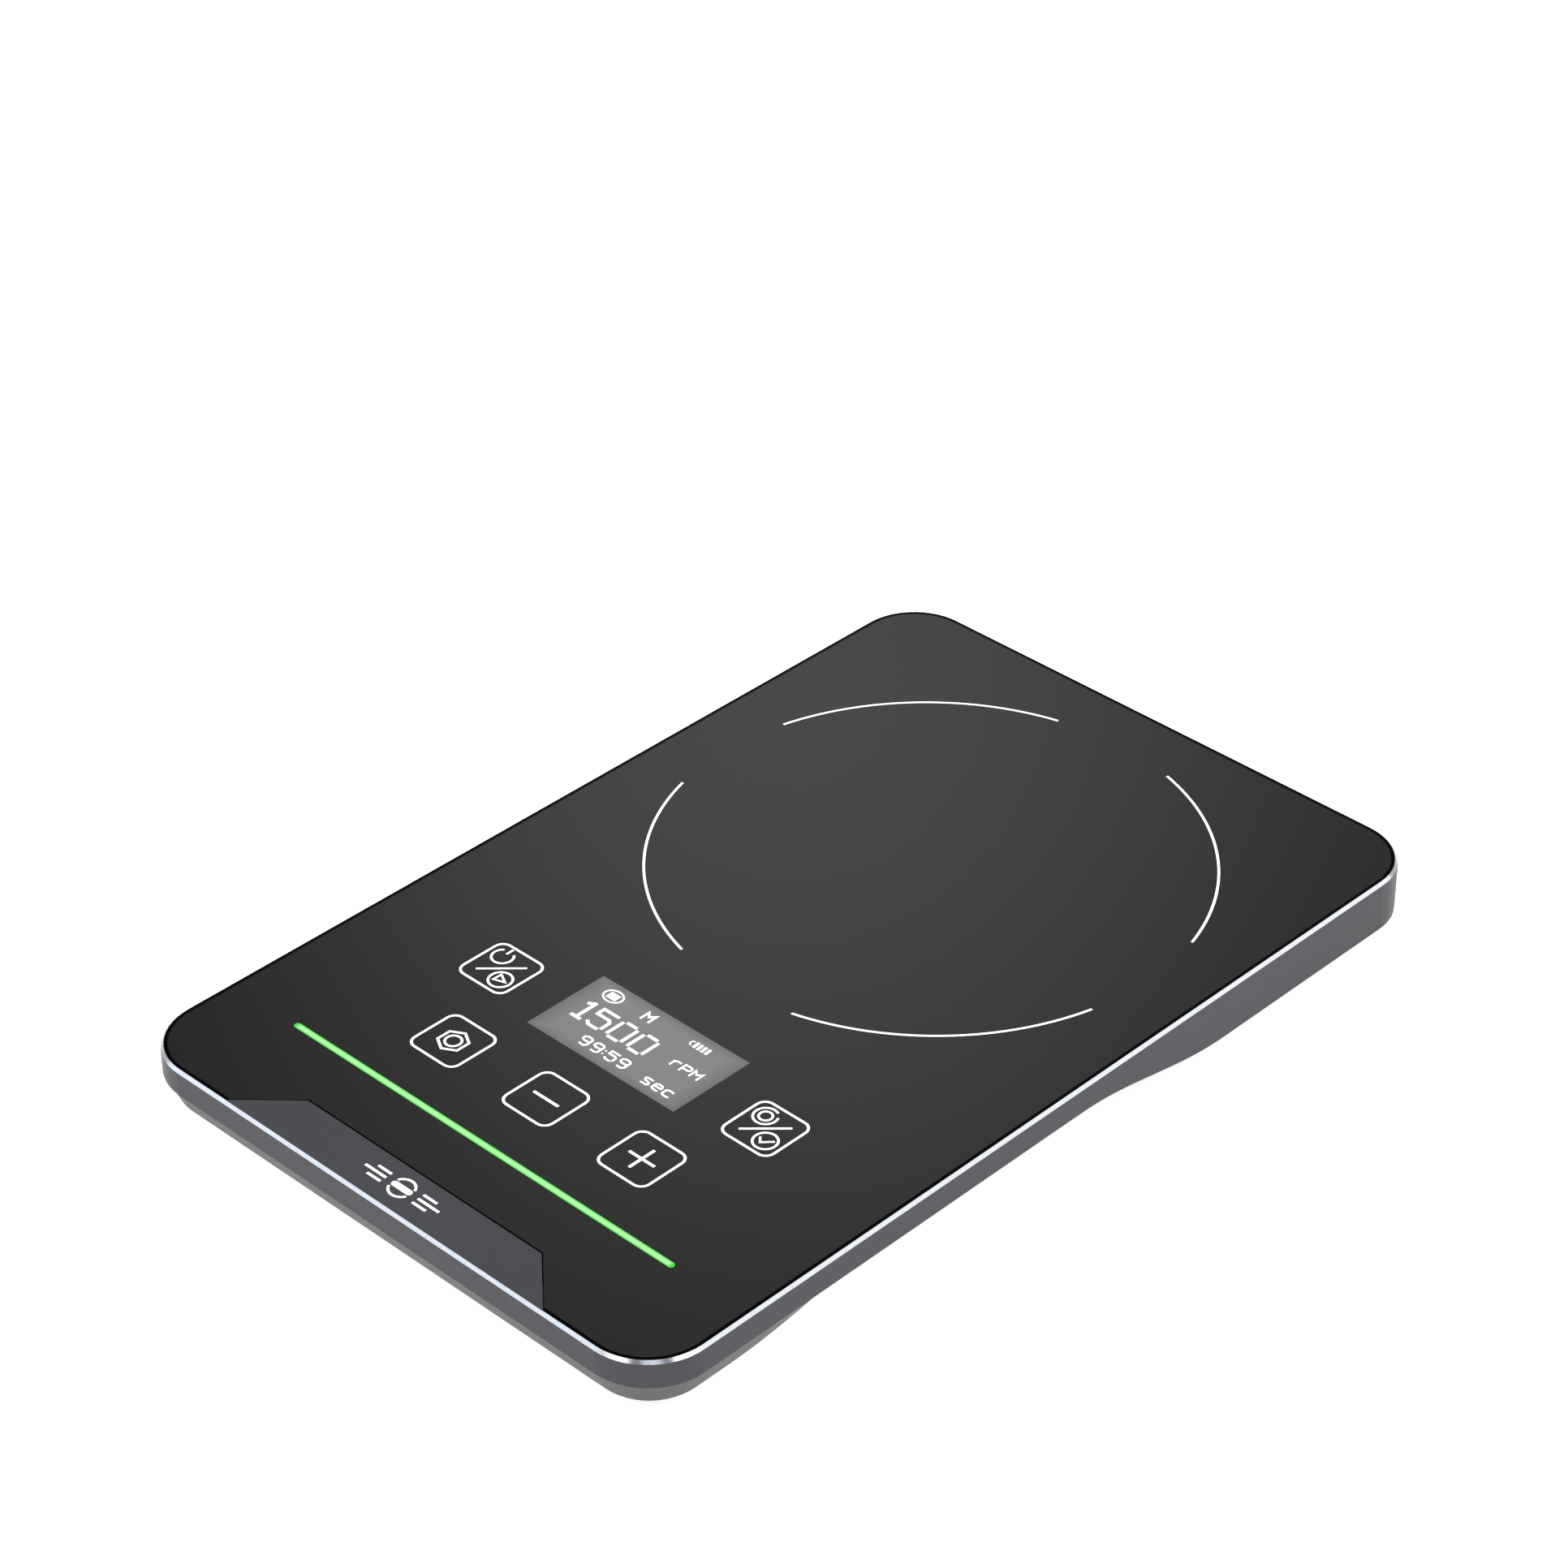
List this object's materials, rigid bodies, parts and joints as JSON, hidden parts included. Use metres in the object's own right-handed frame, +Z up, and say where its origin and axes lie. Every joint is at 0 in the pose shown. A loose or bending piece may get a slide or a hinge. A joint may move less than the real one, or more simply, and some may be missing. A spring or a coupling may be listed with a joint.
{
  "type": "magnetic stirrer",
  "caption": "Slim flat magnetic stirrer with a black glass top, touch keys, display, green light strip, grey metal frame and a flat motor that spins drive magnets under the glass.",
  "frame": {"origin": "on the surface that the feet stand on, under the middle of the body", "axes": "+X to the user's right, +Y to the rear, +Z up"},
  "size_m": [0.11, 0.171, 0.0117],
  "materials": {
    "black_glass": "back-printed black tempered glass",
    "black_foam": "matt foam tape",
    "grey_metal": "grey anodised, with a bright machined chamfer",
    "grey_plastic": "fine texture",
    "bare_aluminium": "turned",
    "black_rubber": "matt",
    "black_screws": "black zinc",
    "steel_screws": "zinc plated",
    "light_guide": "frosted, lit green",
    "green_leds": "clear lens",
    "green_board": "solder mask",
    "copper": "copper",
    "display_panel": "polariser film",
    "white_plastic": "plain",
    "black_chip": "moulded epoxy",
    "tan_ceramic": "plain",
    "ivory_plastic": "plain",
    "battery_foil": "laminated foil",
    "red_lead": "silicone",
    "black_lead": "silicone",
    "steel_shell": "polished",
    "amber_flex": "polyimide film",
    "lamination_steel": "stamped",
    "rotor_steel": "stamped, zinc plated",
    "ferrite": "bonded magnet",
    "nickel_plate": "nickel plated"
  },
  "bodies": {
    "case": {"top_glass": "black_glass", "glass_tape": "black_foam", "frame": "grey_metal", "bottom_case": "grey_plastic", "motor_cover": "bare_aluminium", "rubber_feet": "black_rubber", "case_screws": "black_screws", "cover_screws": "black_screws", "light_guide": "light_guide", "led_board": "green_board", "leds": "green_leds", "touch_board": "green_board", "touch_pads": "copper", "display_gasket": "black_foam", "display_panel": "display_panel", "display_backlight": "white_plastic", "main_board": "green_board", "microcontroller": "black_chip", "motor_driver": "black_chip", "inductor": "black_chip", "capacitors": "tan_ceramic", "buzzer": "black_chip", "board_connectors": "ivory_plastic", "board_screws": "steel_screws", "battery": "battery_foil", "battery_tape": "white_plastic", "battery_lead": "red_lead", "charging_board": "green_board", "socket_shell": "steel_shell", "socket_tongue": "black_chip", "charging_lead": "black_lead", "charging_screws": "steel_screws", "display_flex": "amber_flex", "touch_flex": "amber_flex", "led_flex": "amber_flex", "motor_flex": "amber_flex", "motor_base": "bare_aluminium", "motor_screws": "black_screws", "bearings": "steel_shell", "stator_core": "lamination_steel", "stator_coils": "copper", "motor_board": "green_board", "hall_sensors": "black_chip"},
    "rotor": {"shaft": "steel_shell", "retaining_ring": "lamination_steel", "rotor_cup": "rotor_steel", "pole_ring": "ferrite", "drive_yoke": "rotor_steel", "magnet_carrier": "ivory_plastic", "drive_magnets": "nickel_plate"}
  },
  "joints": [
    {"name": "rotor_spin", "type": "hinge", "parent": "case", "child": "rotor", "pos_m": [0, 0.0305, 0.005], "axis": [0, 0, 1], "continuous": true}
  ]
}
